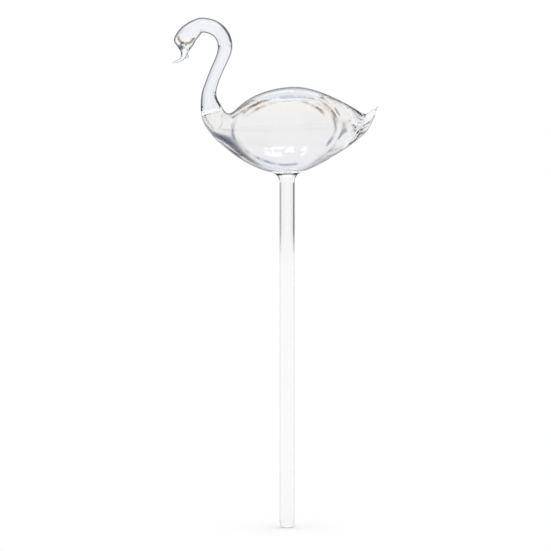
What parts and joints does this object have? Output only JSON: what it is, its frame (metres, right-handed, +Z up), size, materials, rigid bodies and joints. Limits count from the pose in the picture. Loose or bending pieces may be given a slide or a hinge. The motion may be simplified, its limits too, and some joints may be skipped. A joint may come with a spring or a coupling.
{
  "type": "watering globe",
  "caption": "Clear glass watering globe in the form of a swan: a hollow body and neck fused onto a long hollow stem with an open nozzle.",
  "frame": {"origin": "middle of the open mouth at the lower end of the stem, in the plane of its lip", "axes": "+Z up the stem's axis; the swan looks along -X; Y = 0 is the plane of symmetry"},
  "size_m": [0.1079, 0.043, 0.2681],
  "materials": {
    "clear_glass": "clear, fire-polished"
  },
  "bodies": {
    "root": {"nozzle": "clear_glass", "stem_tube": "clear_glass", "stem_seal": "clear_glass", "body_bulb": "clear_glass", "tail_point": "clear_glass", "neck_tube": "clear_glass", "head_bulb": "clear_glass", "bill_hook": "clear_glass", "chin_bead": "clear_glass"}
  },
  "joints": []
}
